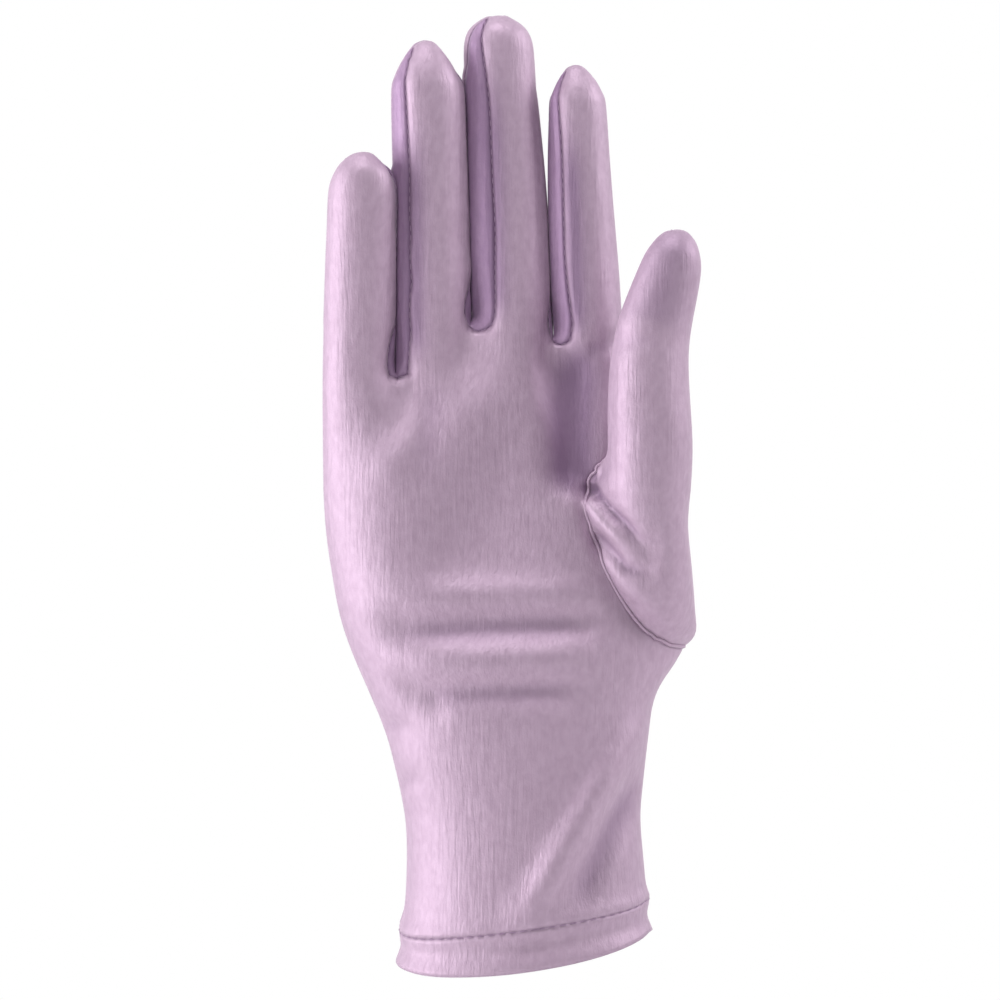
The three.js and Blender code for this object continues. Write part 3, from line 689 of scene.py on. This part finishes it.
def stretched_noise(tree, place, row):
    """A soft random pattern, finer one way than another, as a row of a table gives it."""
    mapping = tree.nodes.new("ShaderNodeMapping")
    mapping.inputs["Scale"].default_value = row["scale"]
    tree.links.new(place.outputs["Object"], mapping.inputs["Vector"])
    pattern = tree.nodes.new("ShaderNodeTexNoise")
    pattern.label = row["name"]
    pattern.inputs["Scale"].default_value = 1.0
    pattern.inputs["Detail"].default_value = row["detail"]
    pattern.inputs["Distortion"].default_value = row["distortion"]
    tree.links.new(mapping.outputs["Vector"], pattern.inputs["Vector"])
    return pattern.outputs["Fac"]


def mark_share(tree, mark, operation, value):
    """How strongly a mark on the cloth shows, worked out from the mark and one value."""
    attribute = tree.nodes.new("ShaderNodeAttribute")
    attribute.attribute_name = mark
    share = tree.nodes.new("ShaderNodeMath")
    share.operation = operation
    share.inputs[1].default_value = value
    tree.links.new(attribute.outputs["Fac"], share.inputs[0])
    return share.outputs["Value"]


def tinted(tree, colour, share, tint):
    """A colour that goes over into a tint by a share."""
    mix = tree.nodes.new("ShaderNodeMix")
    mix.data_type = "RGBA"
    tree.links.new(share, mix.inputs["Factor"])
    tree.links.new(colour, mix.inputs["A"])
    mix.inputs["B"].default_value = tint
    return mix.outputs["Result"]


def satin(name, colour, shade):
    """Stretch satin: a soft gloss with a pale sheen, fine upright knit lines, slight drag lines and a
    faint mottling. Its seams show as dark lines, and its hollows carry painted shade."""
    material = bpy.data.materials.new(name)
    material.use_nodes = True
    tree = material.node_tree
    shader = tree.nodes["Principled BSDF"]
    for socket, value in SATIN_FINISH.items():
        shader.inputs[socket].default_value = value
    place = tree.nodes.new("ShaderNodeTexCoord")

    relief = None
    for row in SATIN_RELIEF:
        bump = tree.nodes.new("ShaderNodeBump")
        bump.inputs["Strength"].default_value = row["strength"]
        bump.inputs["Distance"].default_value = row["depth"]
        tree.links.new(stretched_noise(tree, place, row), bump.inputs["Height"])
        if relief is not None:
            tree.links.new(relief, bump.inputs["Normal"])
        relief = bump.outputs["Normal"]
    tree.links.new(relief, shader.inputs["Normal"])

    mottled = tree.nodes.new("ShaderNodeValToRGB")
    darker, lighter = mottled.color_ramp.elements
    darker.position = MOTTLING_FROM
    darker.color = shade
    lighter.position = MOTTLING_TO
    lighter.color = colour
    tree.links.new(stretched_noise(tree, place, MOTTLING), mottled.inputs["Fac"])
    # Painted shade in the hollows, from the hollow mark
    painted_shade_share = mark_share(tree, "hollow", "MULTIPLY", PAINTED_SHADE_SHARE)
    seam_share = mark_share(tree, "seam", "POWER", SEAM_POWER)
    with_painted_shade = tinted(tree, mottled.outputs["Color"], painted_shade_share, PAINTED_SHADE_TINT)
    with_seams = tinted(tree, with_painted_shade, seam_share, SEAM_TINT)
    tree.links.new(with_seams, shader.inputs["Base Color"])
    return material


def pale_floor():
    """The floor below the glove."""
    bm = bmesh.new()
    bmesh.ops.create_grid(bm, x_segments=1, y_segments=1, size=FLOOR_SIZE / 2)
    bmesh.ops.translate(bm, verts=bm.verts, vec=(0.0, 0.0, FLOOR_HEIGHT))
    floor = own_mesh("floor", bm)
    floor.data.materials.append(plain("pale_floor", FLOOR_COLOUR, FLOOR_ROUGHNESS))


def white_room():
    """The light of the room, by its direction: white from behind the glove and less from in front."""
    world = bpy.data.worlds.new("white_room")
    world.use_nodes = True
    tree = world.node_tree
    room = tree.nodes["Background"]
    room.inputs["Color"].default_value = ROOM_COLOUR
    direction = tree.nodes.new("ShaderNodeTexCoord")
    split = tree.nodes.new("ShaderNodeSeparateXYZ")
    front_to_back = tree.nodes.new("ShaderNodeMapRange")
    front_to_back.interpolation_type = "SMOOTHSTEP"
    front_to_back.inputs["From Min"].default_value = ROOM_DARKEST_TO
    front_to_back.inputs["From Max"].default_value = ROOM_WHITE_FROM
    front_to_back.inputs["To Min"].default_value = ROOM_FRONT_LIGHT
    front_to_back.inputs["To Max"].default_value = ROOM_LIGHT
    tree.links.new(direction.outputs["Generated"], split.inputs["Vector"])
    tree.links.new(split.outputs["Y"], front_to_back.inputs["Value"])
    tree.links.new(front_to_back.outputs["Result"], room.inputs["Strength"])
    bpy.context.scene.world = world


def soft_light(row):
    """One wide light that points at the middle of the picture."""
    light = bpy.data.lights.new(row["name"], "AREA")
    light.shape = "RECTANGLE"
    light.size, light.size_y = row["size"]
    light.energy = row["power"]
    offset = Vector(row["offset"])
    lamp = new_object(row["name"], light)
    lamp.location = PICTURE_MIDDLE + offset
    lamp.rotation_euler = (-offset).to_track_quat("-Z", "Y").to_euler()


def front_camera():
    """A level view of the palm's side, straight from the front and in true colours."""
    data = bpy.data.cameras.new("camera")
    data.sensor_width = SENSOR_WIDTH
    data.lens = SENSOR_WIDTH * CAMERA_DISTANCE / PICTURE_WIDTH
    camera = new_object("camera", data)
    camera.location = PICTURE_MIDDLE + Vector((0.0, -CAMERA_DISTANCE, 0.0))
    camera.rotation_euler = (math.radians(90.0), 0.0, 0.0)
    bpy.context.scene.camera = camera
    bpy.context.scene.view_settings.view_transform = "Standard"


panel_satin = satin("lilac_satin", SATIN_COLOUR, SATIN_SHADE)
# A darker satin for the fourchette strips: painted shade between the fingers
strip_satin_painted_shade = satin("lilac_satin_painted_shade", STRIP_PAINTED_SHADE_COLOUR, STRIP_PAINTED_SHADE_DARKER_TONE)
thread = plain("thread", THREAD_COLOUR, THREAD_ROUGHNESS)

glove = shaped_glove()
for order in range(len(PIECES)):
    cloth_piece(glove, order, strip_satin_painted_shade if order in STRIPS else panel_satin)
finger_seam = SEAMS["finger"]
hem_seam = SEAMS["hem"]
thumb_seam = SEAMS["thumb"]
sewn_piece("finger_stitching", stitches(glove, finger_seam), finger_seam, thread)
sewn_piece("hem_stitching", stitches(glove, hem_seam), hem_seam, thread)
sewn_piece("thumb_seam_edge", raised_edges(glove, thumb_seam), thumb_seam, panel_satin)
glove.free()

pale_floor()
white_room()
for row in LIGHTS:
    soft_light(row)
front_camera()
